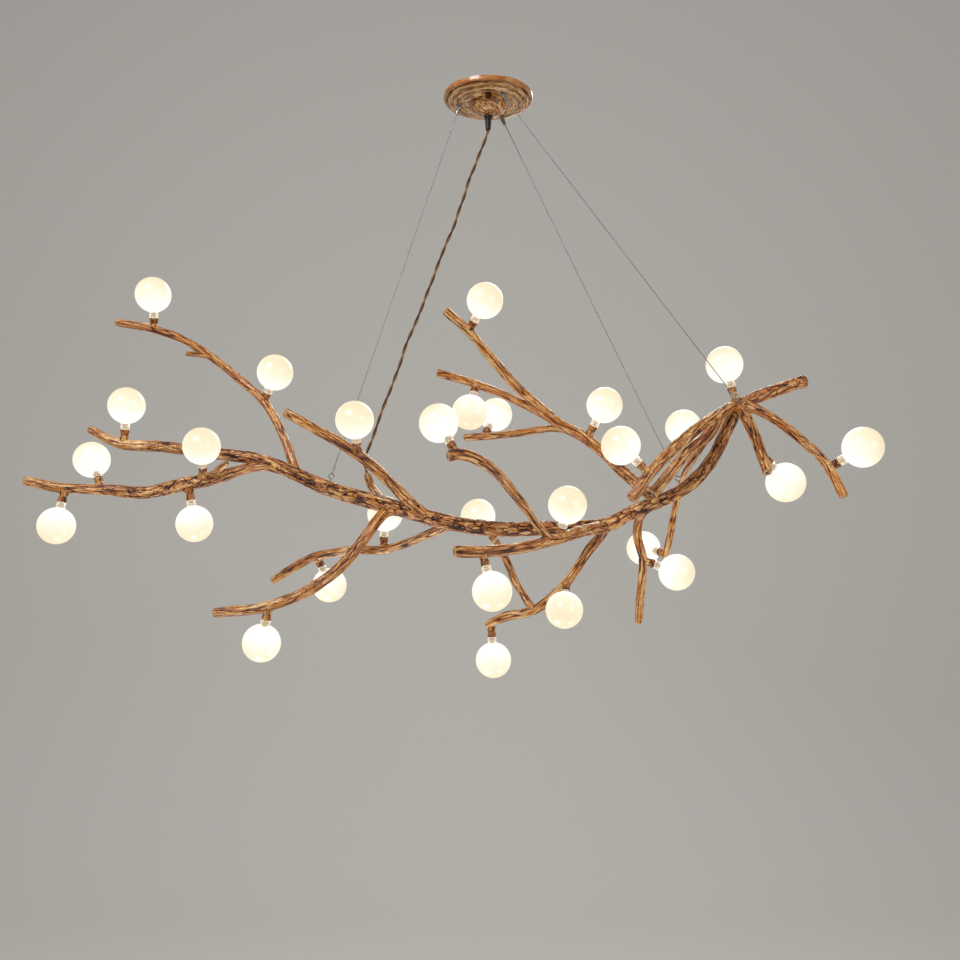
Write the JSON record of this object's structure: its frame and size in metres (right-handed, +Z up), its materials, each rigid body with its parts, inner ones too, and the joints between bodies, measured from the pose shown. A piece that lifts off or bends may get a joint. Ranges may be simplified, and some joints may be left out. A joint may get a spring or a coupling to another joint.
{
  "type": "branch chandelier",
  "caption": "Wide chandelier of crooked cast branches on three wires, with plug-in globe bulbs on short stubs and a round stepped canopy.",
  "frame": {"origin": "middle of the bracket's upper face, where it meets the ceiling", "axes": "+Z up into the ceiling, +X along the trunk to the right, +Y away from the viewer"},
  "size_m": [1.3374, 0.3836, 0.9792],
  "materials": {
    "branch_resin": "hand-stained cast resin, satin",
    "canopy_paint": "wood-effect paint on spun steel, glossy",
    "nut_bronze": "dark bronze",
    "socket_paint": "brown paint, satin",
    "globe_glass": "frosted globe, clear neck",
    "holder_steatite": "unglazed ceramic",
    "wire_steel": "stranded stainless wire",
    "gripper_nickel": "nickel plate",
    "bracket_steel": "zinc plate",
    "terminal_nylon": "moulded",
    "cord_braid": "braided sleeve",
    "grip_nylon": "moulded, satin"
  },
  "bodies": {
    "fixture": {"ceiling_bracket": "bracket_steel", "terminal_block": "terminal_nylon", "canopy": "canopy_paint", "canopy_nuts": "nut_bronze", "cord_grip": "grip_nylon", "wire_grippers": "gripper_nickel", "wire_left": "wire_steel", "wire_rear": "wire_steel", "wire_right": "wire_steel", "wire_ends": "wire_steel", "screw_eyes": "gripper_nickel", "power_cord": "cord_braid", "trunk_left": "branch_resin", "trunk_right": "branch_resin", "upper_left_branch": "branch_resin", "lower_left_branch": "branch_resin", "cord_side_branch": "branch_resin", "front_left_branch": "branch_resin", "rear_left_branch": "branch_resin", "front_middle_branch": "branch_resin", "lower_fork_branch": "branch_resin", "tall_branch": "branch_resin", "drop_branch": "branch_resin", "front_right_branch": "branch_resin", "right_tip_branch": "branch_resin", "right_front_branch": "branch_resin", "socket_cups": "socket_paint", "lamp_holders": "holder_steatite"},
    "bulb_01": {"bulb_01": "globe_glass"},
    "bulb_02": {"bulb_02": "globe_glass"},
    "bulb_03": {"bulb_03": "globe_glass"},
    "bulb_04": {"bulb_04": "globe_glass"},
    "bulb_05": {"bulb_05": "globe_glass"},
    "bulb_06": {"bulb_06": "globe_glass"},
    "bulb_07": {"bulb_07": "globe_glass"},
    "bulb_08": {"bulb_08": "globe_glass"},
    "bulb_09": {"bulb_09": "globe_glass"},
    "bulb_10": {"bulb_10": "globe_glass"},
    "bulb_11": {"bulb_11": "globe_glass"},
    "bulb_12": {"bulb_12": "globe_glass"},
    "bulb_13": {"bulb_13": "globe_glass"},
    "bulb_14": {"bulb_14": "globe_glass"},
    "bulb_15": {"bulb_15": "globe_glass"},
    "bulb_16": {"bulb_16": "globe_glass"},
    "bulb_17": {"bulb_17": "globe_glass"},
    "bulb_18": {"bulb_18": "globe_glass"},
    "bulb_19": {"bulb_19": "globe_glass"},
    "bulb_20": {"bulb_20": "globe_glass"},
    "bulb_21": {"bulb_21": "globe_glass"},
    "bulb_22": {"bulb_22": "globe_glass"},
    "bulb_23": {"bulb_23": "globe_glass"},
    "bulb_24": {"bulb_24": "globe_glass"},
    "bulb_25": {"bulb_25": "globe_glass"},
    "bulb_26": {"bulb_26": "globe_glass"},
    "bulb_27": {"bulb_27": "globe_glass"},
    "bulb_28": {"bulb_28": "globe_glass"},
    "gripper_button_left": {"gripper_button_left": "gripper_nickel"},
    "gripper_button_rear": {"gripper_button_rear": "gripper_nickel"},
    "gripper_button_right": {"gripper_button_right": "gripper_nickel"}
  },
  "joints": [
    {"name": "bulb_01_pull", "type": "slide", "parent": "fixture", "child": "bulb_01", "axis": [0.0226, -0.2578, 0.9659], "range_m": [0, 0.01]},
    {"name": "bulb_02_pull", "type": "slide", "parent": "fixture", "child": "bulb_02", "axis": [0.0868, -0.1504, 0.9848], "range_m": [0, 0.01]},
    {"name": "bulb_03_pull", "type": "slide", "parent": "fixture", "child": "bulb_03", "axis": [-0.4394, 0.3687, 0.8192], "range_m": [0, 0.01]},
    {"name": "bulb_04_pull", "type": "slide", "parent": "fixture", "child": "bulb_04", "axis": [0.1116, -0.633, 0.766], "range_m": [0, 0.01]},
    {"name": "bulb_05_pull", "type": "slide", "parent": "fixture", "child": "bulb_05", "axis": [-0.1574, -0.0734, -0.9848], "range_m": [0, 0.01]},
    {"name": "bulb_06_pull", "type": "slide", "parent": "fixture", "child": "bulb_06", "axis": [0.1504, 0.0868, -0.9848], "range_m": [0, 0.01]},
    {"name": "bulb_07_pull", "type": "slide", "parent": "fixture", "child": "bulb_07", "axis": [0.4132, -0.4924, 0.766], "range_m": [0, 0.01]},
    {"name": "bulb_08_pull", "type": "slide", "parent": "fixture", "child": "bulb_08", "axis": [0, -0.6428, 0.766], "range_m": [0, 0.01]},
    {"name": "bulb_09_pull", "type": "slide", "parent": "fixture", "child": "bulb_09", "axis": [0.0436, -0.0755, 0.9962], "range_m": [0, 0.01]},
    {"name": "bulb_10_pull", "type": "slide", "parent": "fixture", "child": "bulb_10", "axis": [0.3214, 0.383, -0.866], "range_m": [0, 0.01]},
    {"name": "bulb_11_pull", "type": "slide", "parent": "fixture", "child": "bulb_11", "axis": [-0.2198, 0.262, -0.9397], "range_m": [0, 0.01]},
    {"name": "bulb_12_pull", "type": "slide", "parent": "fixture", "child": "bulb_12", "axis": [0.4545, -0.4545, 0.766], "range_m": [0, 0.01]},
    {"name": "bulb_13_pull", "type": "slide", "parent": "fixture", "child": "bulb_13", "axis": [-0.4698, 0.329, 0.8192], "range_m": [0, 0.01]},
    {"name": "bulb_14_pull", "type": "slide", "parent": "fixture", "child": "bulb_14", "axis": [-0.1786, -0.383, -0.9063], "range_m": [0, 0.01]},
    {"name": "bulb_15_pull", "type": "slide", "parent": "fixture", "child": "bulb_15", "axis": [0.3687, 0.5265, 0.766], "range_m": [0, 0.01]},
    {"name": "bulb_16_pull", "type": "slide", "parent": "fixture", "child": "bulb_16", "axis": [-0.5714, 0.05, 0.8192], "range_m": [0, 0.01]},
    {"name": "bulb_17_pull", "type": "slide", "parent": "fixture", "child": "bulb_17", "axis": [0.4532, -0.2113, 0.866], "range_m": [0, 0.01]},
    {"name": "bulb_18_pull", "type": "slide", "parent": "fixture", "child": "bulb_18", "axis": [-0.7071, 0, 0.7071], "range_m": [0, 0.01]},
    {"name": "bulb_19_pull", "type": "slide", "parent": "fixture", "child": "bulb_19", "axis": [0.1485, -0.554, 0.8192], "range_m": [0, 0.01]},
    {"name": "bulb_20_pull", "type": "slide", "parent": "fixture", "child": "bulb_20", "axis": [0.2432, -0.0885, -0.9659], "range_m": [0, 0.01]},
    {"name": "bulb_21_pull", "type": "slide", "parent": "fixture", "child": "bulb_21", "axis": [0.0668, 0.056, -0.9962], "range_m": [0, 0.01]},
    {"name": "bulb_22_pull", "type": "slide", "parent": "fixture", "child": "bulb_22", "axis": [-0.1228, -0.6964, -0.7071], "range_m": [0, 0.01]},
    {"name": "bulb_23_pull", "type": "slide", "parent": "fixture", "child": "bulb_23", "axis": [-0.2868, 0.4967, 0.8192], "range_m": [0, 0.01]},
    {"name": "bulb_24_pull", "type": "slide", "parent": "fixture", "child": "bulb_24", "axis": [-0.2432, 0.0885, 0.9659], "range_m": [0, 0.01]},
    {"name": "bulb_25_pull", "type": "slide", "parent": "fixture", "child": "bulb_25", "axis": [0.6645, 0.2418, -0.7071], "range_m": [0, 0.01]},
    {"name": "bulb_26_pull", "type": "slide", "parent": "fixture", "child": "bulb_26", "axis": [0.75, -0.433, 0.5], "range_m": [0, 0.01]},
    {"name": "bulb_27_pull", "type": "slide", "parent": "fixture", "child": "bulb_27", "axis": [-0.5649, 0.8067, 0.1736], "range_m": [0, 0.01]},
    {"name": "bulb_28_pull", "type": "slide", "parent": "fixture", "child": "bulb_28", "axis": [0.9397, 0, -0.342], "range_m": [0, 0.01]},
    {"name": "release_left_press", "type": "slide", "parent": "fixture", "child": "gripper_button_left", "axis": [0.3139, 0.0076, 0.9494], "range_m": [0, 0.0015], "stiffness_N_per_m": 200},
    {"name": "release_rear_press", "type": "slide", "parent": "fixture", "child": "gripper_button_rear", "axis": [-0.4064, 0.0826, 0.9099], "range_m": [0, 0.0015], "stiffness_N_per_m": 200},
    {"name": "release_right_press", "type": "slide", "parent": "fixture", "child": "gripper_button_right", "axis": [-0.5939, -0.0036, 0.8045], "range_m": [0, 0.0015], "stiffness_N_per_m": 200}
  ]
}
